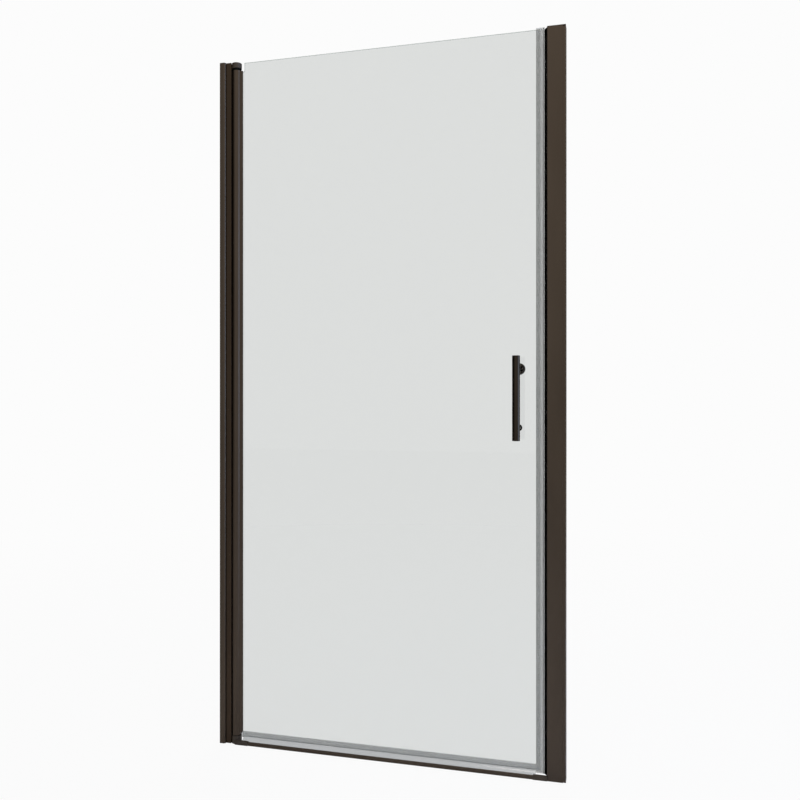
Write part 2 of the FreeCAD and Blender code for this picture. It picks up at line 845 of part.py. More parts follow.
# Door
pieces["door_stile"] = door_stile()
pieces["glazing_gasket"] = glazing_gasket()
pieces["glass_panel"] = glass_panel()
pieces["upper_pivot_bush"] = upper_pivot_bush()
pieces["lower_pivot_bush"] = lower_pivot_bush()
pieces["bottom_sweep"] = bottom_sweep()
pieces["strike_seal"] = strike_seal()
pieces["door_magnet_strip"] = door_magnet_strip()
pieces["handle_bar"] = handle_bar()
pieces["handle_posts"] = handle_posts()
pieces["outer_washers"] = washers(outer_washer_radius, (outer_washer_face, -glass_half))
pieces["inner_washers"] = washers(inner_washer_radius, (glass_half, inner_washer_face))
pieces["glass_hole_sleeves"] = washers(
    glass_hole_radius - hole_sleeve_gap, both_sides(glass_half)
)
pieces["upper_handle_stud"] = upper_handle_stud()
pieces["lower_handle_screw"] = lower_handle_screw()
pieces["inside_knob"] = inside_knob()

os.makedirs("parts", exist_ok=True)
for name, shape in pieces.items():
    shape.exportStep(f"parts/{name}.step")
    box = shape.BoundBox
    print(
        f"{name:22s} solids {len(shape.Solids)} valid {shape.isValid()} "
        f"volume {shape.Volume:11.1f} "
        f"x {box.XMin:8.2f} {box.XMax:8.2f} y {box.YMin:7.2f} {box.YMax:7.2f} "
        f"z {box.ZMin:8.2f} {box.ZMax:8.2f}"
    )
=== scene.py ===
import bmesh
import bpy
import json
import math
from mathutils import Matrix, Vector


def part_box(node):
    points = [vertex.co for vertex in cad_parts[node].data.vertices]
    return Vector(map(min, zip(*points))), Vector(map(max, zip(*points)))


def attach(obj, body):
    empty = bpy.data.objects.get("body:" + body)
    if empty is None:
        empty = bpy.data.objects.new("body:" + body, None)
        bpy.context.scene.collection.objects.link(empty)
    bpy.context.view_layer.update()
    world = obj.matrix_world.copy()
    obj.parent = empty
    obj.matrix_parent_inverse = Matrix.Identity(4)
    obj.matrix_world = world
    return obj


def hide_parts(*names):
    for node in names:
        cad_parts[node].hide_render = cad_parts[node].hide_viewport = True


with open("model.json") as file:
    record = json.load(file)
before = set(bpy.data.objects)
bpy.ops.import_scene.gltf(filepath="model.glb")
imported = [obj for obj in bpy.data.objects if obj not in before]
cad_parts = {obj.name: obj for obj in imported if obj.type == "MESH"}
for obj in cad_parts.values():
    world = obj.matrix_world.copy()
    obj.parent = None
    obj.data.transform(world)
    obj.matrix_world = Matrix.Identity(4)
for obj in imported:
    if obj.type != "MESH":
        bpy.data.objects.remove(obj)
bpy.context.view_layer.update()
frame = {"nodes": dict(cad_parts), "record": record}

print("frame loaded:", len(frame["nodes"]), "nodes")


def mm(value):
    return value / 1000


# How many times a pattern of this real size repeats in a metre
def perMetre(millimetres):
    return 1000 / millimetres


# sRGB hex to the linear colour that shaders take
def linear(hexColour):
    parts = [int(hexColour[place:place + 2], 16) / 255 for place in (0, 2, 4)]
    curve = [p / 12.92 if p <= 0.04045 else ((p + 0.055) / 1.055) ** 2.4 for p in parts]
    return (*curve, 1.0)


# Adds a node. Values are its inputs, where a socket is linked and anything else is set
def addNode(tree, kind, values=None, **settings):
    node = tree.nodes.new(kind)
    for name, setting in settings.items():
        setattr(node, name, setting)
    for name, value in (values or {}).items():
        if isinstance(value, bpy.types.NodeSocket):
            tree.links.new(value, node.inputs[name])
        else:
            node.inputs[name].default_value = value
    return node


def addObject(name, data):
    item = bpy.data.objects.new(name, data)
    bpy.context.scene.collection.objects.link(item)
    return item


# Camera: where the photograph was taken from, worked out from the frame's own edges
view = {
    "place": (0.58805, -2.04844, 0.92795), "turnDegrees": 14.98, "lens": 37.35, "sensor": 36.0,
    "shiftY": -0.0025, "nearest": 0.05, "farthest": 60.0,
}


def makeCamera():
    data = bpy.data.cameras.new("photoCamera")
    data.lens = view["lens"]
    data.sensor_width = view["sensor"]
    data.shift_y = view["shiftY"]
    data.clip_start, data.clip_end = view["nearest"], view["farthest"]
    camera = addObject("photoCamera", data)
    camera.location = view["place"]
    camera.rotation_euler = (math.radians(90), 0, math.radians(view["turnDegrees"]))
    bpy.context.scene.camera = camera


# Studio: an even bright room with a soft glow overhead and a dark flag at each side, a cool softbox on the
# strike side, a weak one over the front, and one behind that isn't mirrored. An azimuth is measured in
# degrees from the viewer's side, -Y, towards the strike side, +X
studio = {
    "white": "FCFCFC", "aim": (0, 0, 0.95),
    "floorHalf": 12.0, "floorDrop": 0.0004, "floorPaint": "EAEAEA",
    "floorGrain": 4, "floorBump": 0.05, "floorRelief": 0.2,
    "fadeStart": 1.0, "fadeEnd": 4.0, "shadowShare": 0.04,
    "room": {"colour": "F6F6F4", "level": 0.76},
    "zones": {
        "overheadGlow": {"azimuth": 8, "elevation": 42, "inner": 8, "outer": 60,
                         "colour": "FFFCF6", "level": 0.88},
        "leftFlag": {"azimuth": -100, "elevation": 0, "inner": 35, "outer": 76,
                     "colour": "B0B0B4", "level": 0.03},
        "rightFlag": {"azimuth": 140, "elevation": 0, "inner": 22, "outer": 40,
                      "colour": "B0B0B4", "level": 0.15},
    },
    "lamps": {
        "frontSoftbox": {"place": (0.5, -1.1, 3.7), "size": (1.6, 0.9), "power": 22,
                         "colour": "FFF8F0", "mirrored": True},
        "sideSoftbox": {"place": (2.95, -0.36, 1.6), "size": (1.4, 3.0), "power": 62,
                        "colour": "A5C8FF", "mirrored": True},
        "backSoftbox": {"place": (-0.4, 3.0, 2.6), "size": (2.4, 1.4), "power": 40,
                        "colour": "FFFFFF", "mirrored": False},
    },
}


def makeLamps():
    for name, facts in studio["lamps"].items():
        data = bpy.data.lights.new(name, "AREA")
        data.shape = "RECTANGLE"
        data.size, data.size_y = facts["size"]
        data.energy = facts["power"]
        data.color = linear(facts["colour"])[:3]
        lamp = addObject(name, data)
        lamp.location = facts["place"]
        lamp.rotation_euler = (Vector(studio["aim"]) - lamp.location).to_track_quat("-Z", "Y").to_euler()
        lamp.visible_camera = False
        lamp.visible_transmission = False
        lamp.visible_glossy = facts["mirrored"]


# 1 for the rays that look at the background straight on or through glass, and 0 for the rest
def backgroundRay(tree):
    path = addNode(tree, "ShaderNodeLightPath")
    seen = addNode(tree, "ShaderNodeMath", {
        0: path.outputs["Is Camera Ray"], 1: path.outputs["Is Transmission Ray"]}, operation="MAXIMUM")
    return seen.outputs[0]


def makeWorld():
    world = bpy.data.worlds.new("studioWorld")
    bpy.context.scene.world = world
    world.use_nodes = True
    tree = world.node_tree
    tree.nodes.clear()
    where = addNode(tree, "ShaderNodeTexCoord")
    room = studio["room"]
    light = addNode(tree, "ShaderNodeBackground", {
        "Color": linear(room["colour"]), "Strength": room["level"]})
    for zone in studio["zones"].values():
        turn, tilt = math.radians(zone["azimuth"]), math.radians(zone["elevation"])
        middle = (math.sin(turn) * math.cos(tilt), -math.cos(turn) * math.cos(tilt), math.sin(tilt))
        near = addNode(tree, "ShaderNodeVectorMath", {
            0: where.outputs["Generated"], 1: middle}, operation="DOT_PRODUCT")
        share = addNode(tree, "ShaderNodeMapRange", {
            "Value": near.outputs["Value"], "From Min": math.cos(math.radians(zone["outer"])),
            "From Max": math.cos(math.radians(zone["inner"]))}, interpolation_type="SMOOTHSTEP")
        glow = addNode(tree, "ShaderNodeBackground", {
            "Color": linear(zone["colour"]), "Strength": zone["level"]})
        light = addNode(tree, "ShaderNodeMixShader", {
            0: share.outputs["Result"], 1: light.outputs[0], 2: glow.outputs[0]})
    seen = backgroundRay(tree)
    white = addNode(tree, "ShaderNodeBackground", {"Color": linear(studio["white"]), "Strength": 1.0})
    both = addNode(tree, "ShaderNodeMixShader", {0: seen, 1: light.outputs[0], 2: white.outputs[0]})
    addNode(tree, "ShaderNodeOutputWorld", {"Surface": both.outputs[0]})


def newMaterial(name):
    material = bpy.data.materials.new(name)
    material.use_nodes = True
    material.node_tree.nodes.clear()
    return material, material.node_tree


# Studio floor, matt white vinyl: a faint shadow near the object, plain white further out
def floorMaterial():
    material, tree = newMaterial("studioFloorMattVinyl")
    where = addNode(tree, "ShaderNodeTexCoord")
    distance = addNode(tree, "ShaderNodeVectorMath", {0: where.outputs["Object"]}, operation="LENGTH")
    near = addNode(tree, "ShaderNodeMapRange", {
        "Value": distance.outputs["Value"], "From Min": studio["fadeStart"], "From Max": studio["fadeEnd"],
        "To Min": studio["shadowShare"], "To Max": 0.0}, interpolation_type="SMOOTHSTEP")
    seen = backgroundRay(tree)
    glow = addNode(tree, "ShaderNodeMath", {0: 1.0, 1: near.outputs["Result"]}, operation="SUBTRACT")
    share = addNode(tree, "ShaderNodeMath", {0: glow.outputs[0], 1: seen}, operation="MULTIPLY")
    grain = addNode(tree, "ShaderNodeTexNoise", {
        "Vector": where.outputs["Object"], "Scale": perMetre(studio["floorGrain"])})
    bump = addNode(tree, "ShaderNodeBump", {
        "Height": grain.outputs["Fac"], "Strength": studio["floorBump"],
        "Distance": mm(studio["floorRelief"])})
    paint = addNode(tree, "ShaderNodeBsdfDiffuse", {
        "Color": linear(studio["floorPaint"]), "Normal": bump.outputs[0]})
    white = addNode(tree, "ShaderNodeEmission", {"Color": linear(studio["white"]), "Strength": 1.0})
    both = addNode(tree, "ShaderNodeMixShader", {
        0: share.outputs[0], 1: paint.outputs[0], 2: white.outputs[0]})
    addNode(tree, "ShaderNodeOutputMaterial", {"Surface": both.outputs[0]})
    return material


def makeFloor():
    half, level = studio["floorHalf"], -studio["floorDrop"]
    spots = [(-half, -half, level), (half, -half, level), (half, half, level), (-half, half, level)]
    mesh = bpy.data.meshes.new("studioFloor")
    mesh.from_pydata(spots, [], [(0, 1, 2, 3)])
    mesh.materials.append(floorMaterial())
    addObject("studioFloor", mesh)


# How finely each kind of pattern breaks up, and the part of the noise's range that it mostly fills
patternDetail = {"cloud": 2.0, "peel": 3.0, "streak": 1.0, "wave": 0.0, "grain": 3.0, "drawn": 2.0}
noiseSpan = (0.3, 0.7)
# Lacquer, plastic and glass are all near this. It is also the shader's default, which metals keep
usualIor = 1.5


# One of a material's patterns, with so many millimetres to its repeat along each axis
def pattern(tree, facts, kind):
    where = addNode(tree, "ShaderNodeTexCoord")
    scale = [perMetre(size) for size in facts[kind]]
    place = addNode(tree, "ShaderNodeMapping", {"Vector": where.outputs["Object"], "Scale": scale})
    noise = addNode(tree, "ShaderNodeTexNoise", {
        "Vector": place.outputs[0], "Scale": 1.0, "Detail": patternDetail[kind]})
    return noise.outputs["Fac"]


# Roughness that wanders with one pattern, and relief from another
def roughAndBump(tree, facts, wander, height):
    rough = addNode(tree, "ShaderNodeMapRange", {
        "Value": wander, "From Min": noiseSpan[0], "From Max": noiseSpan[1],
        "To Min": facts["rough"][0], "To Max": facts["rough"][1]})
    bump = addNode(tree, "ShaderNodeBump", {
        "Height": height, "Strength": facts["bump"], "Distance": mm(facts["relief"])})
    return rough.outputs[0], bump.outputs[0]


# Ends a clear material's tree: light goes through it to the shadows in a plain tint
def lightThrough(tree, facts, surface):
    clear = addNode(tree, "ShaderNodeBsdfTransparent", {"Color": linear(facts["shadow"])})
    path = addNode(tree, "ShaderNodeLightPath")
    both = addNode(tree, "ShaderNodeMixShader", {
        0: path.outputs["Is Shadow Ray"], 1: surface.outputs[0], 2: clear.outputs[0]})
    addNode(tree, "ShaderNodeOutputMaterial", {"Surface": both.outputs[0]})


# An opaque finish: two close tones in clouds, roughness in streaks, and relief from its grain and streaks
def coated(name, facts):
    material, tree = newMaterial(name)
    cloud = pattern(tree, facts, "cloud")
    peel = pattern(tree, facts, "peel")
    streak = pattern(tree, facts, "streak")
    colour = addNode(tree, "ShaderNodeMix", {
        "Factor": cloud, 6: linear(facts["dark"]), 7: linear(facts["light"])}, data_type="RGBA")
    height = addNode(tree, "ShaderNodeMath", {0: peel, 1: streak}, operation="ADD")
    rough, bump = roughAndBump(tree, facts, streak, height.outputs[0])
    paint = addNode(tree, "ShaderNodeBsdfPrincipled", {
        "Base Color": colour.outputs[2], "Roughness": rough, "Normal": bump, "IOR": usualIor,
        "Metallic": facts.get("metallic", 0.0), "Specular IOR Level": facts.get("specular", 0.5)})
    addNode(tree, "ShaderNodeOutputMaterial", {"Surface": paint.outputs[0]})
    return material


# Extruded aluminium, anodised dark bronze: a satin metal with faint die lines along the extrusion.
# The etched grain is really about 0.05 mm and is drawn at 0.7 mm so that it shows
bronzeAnodised = {
    "dark": "473E36", "light": "51473E", "cloud": (50, 50, 260), "peel": (0.7, 0.7, 0.9),
    "streak": (0.8, 0.8, 500), "rough": (0.31, 0.37), "bump": 0.10, "relief": 0.03, "metallic": 1.0,
}
# The hinge jamb's face lies recessed between the channel's flange and the post, and the shade that falls
# there is painted in: the same finish in darker tones
bronzePaintedShade = {**bronzeAnodised, "dark": "392F26", "light": "42372D"}
# The same finish on a bar that runs along the opening
bronzeAnodisedAcross = {**bronzeAnodised, "streak": (500, 0.8, 0.8), "cloud": (260, 50, 50)}
# Die-cast zinc, powder coated to match: fuller and smoother, with a soft orange peel
bronzeCast = {
    "dark": "332B24", "light": "3C342B", "cloud": (25, 25, 25), "peel": (1.4, 1.4, 1.4),
    "streak": (6, 6, 6), "rough": (0.38, 0.48), "bump": 0.15, "relief": 0.06, "specular": 0.3,
}
# Moulded ABS in the frame's bronze: a spark-eroded matt grain, really about 0.1 mm, drawn at 0.35 mm
bronzeMoulded = {
    "dark": "3B332A", "light": "433A30", "cloud": (12, 12, 12), "peel": (0.35, 0.35, 0.35),
    "streak": (3, 3, 3), "rough": (0.42, 0.52), "bump": 0.25, "relief": 0.04, "specular": 0.25,
}
# Turned aluminium, oil-rubbed bronze under lacquer: darker and glossier than the frame, with turning
# lines round the bar
handleBronze = {
    "dark": "322C26", "light": "3A332C", "cloud": (14, 14, 40), "peel": (0.9, 0.9, 0.9),
    "streak": (4, 4, 0.3), "rough": (0.11, 0.16), "bump": 0.06, "relief": 0.02, "metallic": 1.0,
}
# Stainless steel, turned: fine rings across the axis
turnedSteel = {
    "dark": "A9A9A8", "light": "BDBDBB", "cloud": (6, 6, 6), "peel": (0.3, 0.3, 0.3),
    "streak": (3, 0.2, 3), "rough": (0.22, 0.34), "bump": 0.1, "relief": 0.02, "metallic": 1.0,
}
# Moulded black nylon: matt, with a slightly waxy grain
blackNylon = {
    "dark": "030303", "light": "060606", "cloud": (8, 8, 8), "peel": (0.5, 0.5, 0.5),
    "streak": (4, 4, 4), "rough": (0.5, 0.62), "bump": 0.15, "relief": 0.03, "specular": 0.05,
}
# Soft black vinyl, extruded: dull and very dark, with drawn lines. The rubber washers look the same
blackVinyl = {
    "dark": "030202", "light": "060504", "cloud": (5, 5, 200), "peel": (0.4, 0.4, 0.4),
    "streak": (0.5, 0.5, 300), "rough": (0.55, 0.7), "bump": 0.15, "relief": 0.04, "specular": 0.03,
}
# Flexible ferrite magnet, calendered: dull grey-brown with a dusty grain
ferriteStrip = {
    "dark": "1B1817", "light": "2A2523", "cloud": (2, 2, 20), "peel": (0.2, 0.2, 0.2),
    "streak": (1, 1, 40), "rough": (0.7, 0.85), "bump": 0.3, "relief": 0.03,
}
# The door's strip, in a thin sleeve of pale grey vinyl
sleevedStrip = {**ferriteStrip, "dark": "9C9C9B", "light": "A9A9A8"}

# Toughened clear glass: faintly green-grey, with roller waves too weak to see except in reflections
polishedGlass = {
    "tint": "DEE0DF", "shadow": "E6E9E8", "wave": (180, 180, 320), "bump": 0.2, "relief": 0.02,
}


def polishedGlassMaterial(name, facts):
    material, tree = newMaterial(name)
    wave = pattern(tree, facts, "wave")
    bump = addNode(tree, "ShaderNodeBump", {
        "Height": wave, "Strength": facts["bump"], "Distance": mm(facts["relief"])})
    pane = addNode(tree, "ShaderNodeBsdfPrincipled", {
        "Base Color": linear(facts["tint"]), "Roughness": 0.0, "IOR": usualIor,
        "Transmission Weight": 1.0, "Normal": bump.outputs[0]})
    lightThrough(tree, facts, pane)
    return material


# Ground and seamed glass edge: the same glass, frosted by the wheel, greener and darker to look at
groundGlass = {
    "tint": "9FB3AA", "shadow": "C6D0CB", "grain": (0.5, 0.5, 0.5), "rough": (0.32, 0.5), "bump": 0.3,
    "relief": 0.05,
}


def groundGlassMaterial(name, facts):
    material, tree = newMaterial(name)
    grain = pattern(tree, facts, "grain")
    rough, bump = roughAndBump(tree, facts, grain, grain)
    edge = addNode(tree, "ShaderNodeBsdfPrincipled", {
        "Base Color": linear(facts["tint"]), "Roughness": rough, "IOR": usualIor,
        "Transmission Weight": 1.0, "Normal": bump})
    lightThrough(tree, facts, edge)
    return material


# Clear extruded vinyl: slightly grey and hazy in its thickness, with drawn lines along it
clearVinyl = {
    "tint": "D9DADA", "haze": "C9CACA", "shadow": "D8D9DA", "throughShare": 0.9,
    "drawn": (1.2, 1.2, 400), "rough": (0.10, 0.22), "bump": 0.12, "relief": 0.05,
}
# Where it lies on the glass, with a film of air between them: the same vinyl in a darker tint, painted
# shade for how it looks there
vinylOverGlassPaintedShade = {**clearVinyl, "tint": "CFD0D0", "haze": "C0C1C1"}
# The same vinyl on a piece that runs along the opening
clearVinylAcross = {**clearVinyl, "drawn": (400, 1.2, 1.2)}
# The soft grade that is extruded onto it for the fin, greyer
softVinylAcross = {**clearVinylAcross, "tint": "C0C2C3", "haze": "B3B5B6"}


def clearVinylMaterial(name, facts):
    material, tree = newMaterial(name)
    drawn = pattern(tree, facts, "drawn")
    rough, bump = roughAndBump(tree, facts, drawn, drawn)
    tint = addNode(tree, "ShaderNodeMix", {
        "Factor": drawn, 6: linear(facts["haze"]), 7: linear(facts["tint"])}, data_type="RGBA")
    body = addNode(tree, "ShaderNodeBsdfPrincipled", {
        "Base Color": tint.outputs[2], "Roughness": rough, "IOR": usualIor,
        "Transmission Weight": facts["throughShare"], "Normal": bump})
    lightThrough(tree, facts, body)
    return material


makeCamera()
makeLamps()
makeWorld()
makeFloor()
print("camera, lamps and floor made")

materials = {
    "bronze": coated("bronzeAnodisedSatin", bronzeAnodised),
    # The frame's finish in darker tones: painted shade for the hinge jamb's recessed face
    "bronzePaintedShade": coated("bronzeAnodisedPaintedShade", bronzePaintedShade),
    "bronzeAcross": coated("bronzeAnodisedSatinAcross", bronzeAnodisedAcross),
    "cast": coated("bronzeCoatOnDieCast", bronzeCast),
    "moulded": coated("bronzeMouldedAbs", bronzeMoulded),
    "handle": coated("oilRubbedBronzeLacquered", handleBronze),
    "steel": coated("stainlessSteelTurned", turnedSteel),
    "nylon": coated("blackNylonMoulded", blackNylon),
    "vinyl": coated("blackVinylExtruded", blackVinyl),
    "magnet": coated("ferriteMagnetStrip", ferriteStrip),
    "sleevedMagnet": coated("magnetStripPaleSleeve", sleevedStrip),
    "glass": polishedGlassMaterial("toughenedGlassPolished", polishedGlass),
    "groundEdge": groundGlassMaterial("toughenedGlassGroundEdge", groundGlass),
    "clearUpright": clearVinylMaterial("clearVinylExtrudedUpright", clearVinyl),
    "clearAcross": clearVinylMaterial("clearVinylExtrudedAcross", clearVinylAcross),
    # The same clear vinyl in a darker tint: painted shade where the seal's legs lie over the glass
    "gripUprightPaintedShade": clearVinylMaterial("clearVinylOnGlassPaintedShade", vinylOverGlassPaintedShade),
    "softAcross": clearVinylMaterial("softClearVinylFin", softVinylAcross),
    "washer": coated("blackRubberWasher", blackVinyl),
}

slotMaterials = {
    "bronze_aluminium": "bronze", "bronze_cast": "cast", "bronze_plastic": "moulded",
    "handle_bronze": "handle", "handle_screw_bronze": "handle", "steel": "steel", "black_nylon": "nylon",
    "black_pvc": "vinyl", "magnet": "magnet", "clear_pvc": "clearUpright", "glass": "glass",
    "black_washer": "washer",
}
record = frame["record"]
slotOf = {part["node"]: part["material_slot"] for part in record["subparts"]}
bodyOf = {node: body for body, nodes in record["behaviour"]["bodies"].items() for node in nodes}
for name, node in frame["nodes"].items():
    node.data.materials.clear()
    finish = "sleevedMagnet" if name == "door_magnet_strip" else slotMaterials[slotOf[name]]
    node.data.materials.append(materials[finish])
print("materials made and given to the frame's nodes")


# A node's box in millimetres, as its lowest and its highest corner
def corners(nodeName):
    low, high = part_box(nodeName)
    return [value * 1000 for value in low], [value * 1000 for value in high]


# Hands a finished mesh over as the piece that stands for a node
def handOver(pieceName, mesh, nodeName):
    mesh.name = pieceName
    piece = addObject(pieceName, mesh)
    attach(piece, bodyOf[nodeName])
    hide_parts(nodeName)


# The object's mesh with its modifiers worked out
def plainMesh(work):
    bpy.context.view_layer.update()
    depsgraph = bpy.context.evaluated_depsgraph_get()
    mesh = bpy.data.meshes.new_from_object(work.evaluated_get(depsgraph))
    bpy.data.objects.remove(work)
    return mesh


def meshFrom(shape, name):
    mesh = bpy.data.meshes.new(name)
    shape.to_mesh(mesh)
    shape.free()
    return mesh


# One mesh less another. A cutter whose own parts cross each other needs the slower way
def cutAway(name, mesh, cutter, crossing):
    work, tool = addObject(name + "Work", mesh), addObject(name + "Tool", cutter)
    cut = work.modifiers.new("cut", "BOOLEAN")
    cut.operation, cut.solver, cut.object = "DIFFERENCE", "EXACT", tool
    cut.use_self = crossing
    done = plainMesh(work)
    bpy.data.objects.remove(tool)
    return done


smoothBelowDegrees = 30


# Smooth shading that stops at real edges, so that flats stay flat
def softShaded(mesh):
    mesh.shade_smooth()
    mesh.set_sharp_from_angle(angle=math.radians(smoothBelowDegrees))
    return mesh


# Gives a mesh these materials and no others, the first of them on every face
def dress(mesh, *finishes):
    mesh.materials.clear()
    for finish in finishes:
        mesh.materials.append(finish)
    mesh.polygons.foreach_set("material_index", [0] * len(mesh.polygons))


# Hard pieces: the frame's own shape with every sharp edge broken by a small radius, as dies and moulds
# leave it. Each has its piece's name, its finish and that radius in millimetres
edgeFinish = {
    "mergeGap": 0.002, "flatDegrees": 0.4, "sharpDegrees": 28, "steps": 2, "profile": 0.5,
    "normalWeight": 50,
}
hardPieces = {
    "hinge_wall_channel": ("hingeWallChannelExtrusion", "bronze", 0.35),
    # The hinge jamb takes the darker bronze, painted shade for its recessed face
    "hinge_jamb": ("hingeJambExtrusion", "bronzePaintedShade", 0.30),
    "hinge_cap": ("hingeCapMoulding", "moulded", 0.40),
    "upper_pivot_bracket": ("upperPivotBracketCasting", "cast", 0.35),
    "lower_pivot_block": ("lowerPivotBlockCasting", "cast", 0.35),
    "upper_pivot_pin": ("upperPivotPinTurned", "steel", 0.25),
    "lower_pivot_pin": ("lowerPivotPinTurned", "steel", 0.25),
    "jamb_wiper_seal": ("jambWiperStrip", "vinyl", 0.20),
    "strike_wall_channel": ("strikeWallChannelExtrusion", "bronze", 0.30),
    "strike_jamb": ("strikeJambExtrusion", "bronze", 0.30),
    "strike_cap": ("strikeCapMoulding", "moulded", 0.40),
    "jamb_magnet_carrier": ("jambMagnetCarrierExtrusion", "vinyl", 0.20),
    "threshold_bar": ("thresholdBarExtrusion", "bronzeAcross", 0.30),
    "threshold_end_cap": ("thresholdEndSleeveMoulding", "moulded", 0.35),
    "door_stile": ("doorStileExtrusion", "bronze", 0.30),
    "upper_pivot_bush": ("upperPivotBushMoulding", "nylon", 0.30),
    "lower_pivot_bush": ("lowerPivotBushMoulding", "nylon", 0.30),
    "handle_bar": ("pullBarTurned", "handle", 0.30),
    "handle_posts": ("pullBarPostsTurned", "handle", 0.20),
    "inside_knob": ("insideKnobTurned", "handle", 0.40),
    "lower_handle_screw": ("lowerHandleScrewTurned", "handle", 0.30),
    "outer_washers": ("outerWashersMoulded", "washer", 0.25),
    "inner_washers": ("innerWashersMoulded", "washer", 0.25),
}


def makeHardPiece(nodeName, pieceName, finish, edgeRadius):
    shape = bmesh.new()
    shape.from_mesh(frame["nodes"][nodeName].data)
    bmesh.ops.remove_doubles(shape, verts=shape.verts, dist=mm(edgeFinish["mergeGap"]))
    flat, sharp = math.radians(edgeFinish["flatDegrees"]), math.radians(edgeFinish["sharpDegrees"])
    bmesh.ops.dissolve_limit(shape, angle_limit=flat, verts=shape.verts, edges=shape.edges)
    rims = [edge for edge in shape.edges if edge.calc_face_angle(0) > sharp]
    bmesh.ops.bevel(shape, geom=rims, offset=mm(edgeRadius), segments=edgeFinish["steps"],
                    profile=edgeFinish["profile"], affect="EDGES", clamp_overlap=True)
    mesh = meshFrom(shape, pieceName)
    mesh.shade_smooth()
    work = addObject(pieceName + "Work", mesh)
    even = work.modifiers.new("evenNormals", "WEIGHTED_NORMAL")
    even.weight = edgeFinish["normalWeight"]
    done = plainMesh(work)
    dress(done, materials[finish])
    handOver(pieceName, done, nodeName)


for nodeName, (pieceName, finish, edgeRadius) in hardPieces.items():
    makeHardPiece(nodeName, pieceName, finish, edgeRadius)
print("hard pieces finished:", len(hardPieces))


# Sets a modifier's inputs: each is found by its name and set by its identifier
def setInputs(modifier, values):
    for item in modifier.node_group.interface.items_tree:
        if item.item_type == "SOCKET" and item.in_out == "INPUT" and item.name in values:
            modifier[item.identifier] = values[item.name]


def makeTree(name, inputs):
    tree = bpy.data.node_groups.new(name, "GeometryNodeTree")
    for label, kind in inputs.items():
        tree.interface.new_socket(label, in_out="INPUT", socket_type="NodeSocket" + kind)
    tree.interface.new_socket("Piece", in_out="OUTPUT", socket_type="NodeSocketGeometry")
    return tree, addNode(tree, "NodeGroupInput")


# Ends a tree: its instances are made real and take the finish
def endTree(tree, given, last):
    real = addNode(tree, "GeometryNodeRealizeInstances", {"Geometry": last.outputs[0]})
    finished = addNode(tree, "GeometryNodeSetMaterial", {
        "Geometry": real.outputs[0], "Material": given.outputs["Finish"]})
    addNode(tree, "NodeGroupOutput", {"Piece": finished.outputs[0]})
    return tree


# Extrusions: the section's loops get round corners, are filled round their holes and drawn out to a length
extrusion = {"cornerSteps": 4, "mergeGap": 0.001}


def makeExtrusionTree():
    tree, given = makeTree("sectionExtrusion", {
        "Section": "Geometry", "Length": "Float", "Corner Steps": "Int", "Finish": "Material"})
    loops = addNode(tree, "GeometryNodeMeshToCurve", {"Mesh": given.outputs["Section"]})
    radius = addNode(tree, "GeometryNodeInputNamedAttribute", {"Name": "cornerRadius"}, data_type="FLOAT")
    rounded = addNode(tree, "GeometryNodeFilletCurve", {
        "Curve": loops.outputs[0], "Count": given.outputs["Corner Steps"],
        "Radius": radius.outputs[0], "Limit Radius": True}, mode="POLY")
    face = addNode(tree, "GeometryNodeFillCurve", {"Curve": rounded.outputs[0]}, mode="NGONS")
    drawn = addNode(tree, "GeometryNodeExtrudeMesh", {
        "Mesh": face.outputs[0], "Offset Scale": given.outputs["Length"],
        "Individual": False}, mode="FACES")
    under = addNode(tree, "GeometryNodeFlipFaces", {"Mesh": face.outputs[0]})
    closed = addNode(tree, "GeometryNodeJoinGeometry")
    tree.links.new(drawn.outputs["Mesh"], closed.inputs[0])
    tree.links.new(under.outputs[0], closed.inputs[0])
    merged = addNode(tree, "GeometryNodeMergeByDistance", {
        "Geometry": closed.outputs[0], "Distance": mm(extrusion["mergeGap"])})
    return endTree(tree, given, merged)


extrusionTree = makeExtrusionTree()


# A section is a list of loops of (across, up, corner radius) in millimetres. The axes say where it is
# drawn: the section's two directions, then the direction of its length, which starts at this place
def extruded(name, loops, length, start, axes, finish):
    points, edges, radii = [], [], []
    for loop in loops:
        first = len(points)
        points += [(mm(across), mm(up), 0) for across, up, radius in loop]
        edges += [(first + place, first + (place + 1) % len(loop)) for place in range(len(loop))]
        radii += [mm(radius) for across, up, radius in loop]
    section = bpy.data.meshes.new(name + "Section")
    section.from_pydata(points, edges, [])
    rounding = section.attributes.new("cornerRadius", "FLOAT", "POINT")
    rounding.data.foreach_set("value", radii)
    work = addObject(name + "Work", section)
    modifier = work.modifiers.new("extrusion", "NODES")
    modifier.node_group = extrusionTree
    setInputs(modifier, {
        "Length": mm(length), "Corner Steps": extrusion["cornerSteps"], "Finish": finish})
    mesh = plainMesh(work)
    turn = Matrix(axes).transposed().to_4x4()
    mesh.transform(Matrix.Translation(Vector([mm(value) for value in start])) @ turn)
    dress(mesh, finish)
    return softShaded(mesh)


upright = ((1, 0, 0), (0, 1, 0), (0, 0, 1))
acrossOpening = ((0, 1, 0), (0, 0, 1), (1, 0, 0))
paneAxes = ((1, 0, 0), (0, 0, 1), (0, -1, 0))


def rectangle(left, right, front, back, radius):
    return [(left, front, radius), (right, front, radius), (right, back, radius), (left, back, radius)]


# A loop of sharp points round a hole
def circle(across, up, radius, steps):
    turns = [2 * math.pi * step / steps for step in range(steps)]
    return [(across + radius * math.cos(turn), up + radius * math.sin(turn), 0) for turn in turns]


# Points on a smooth bend from one end to the other, pulled towards a middle point
def bend(first, middle, last, steps):
    points = []
    for step in range(steps + 1):
        share = step / steps
        points.append(tuple((1 - share) ** 2 * a + 2 * share * (1 - share) * b + share ** 2 * c
                            for a, b, c in zip(first, middle, last)))
    return points


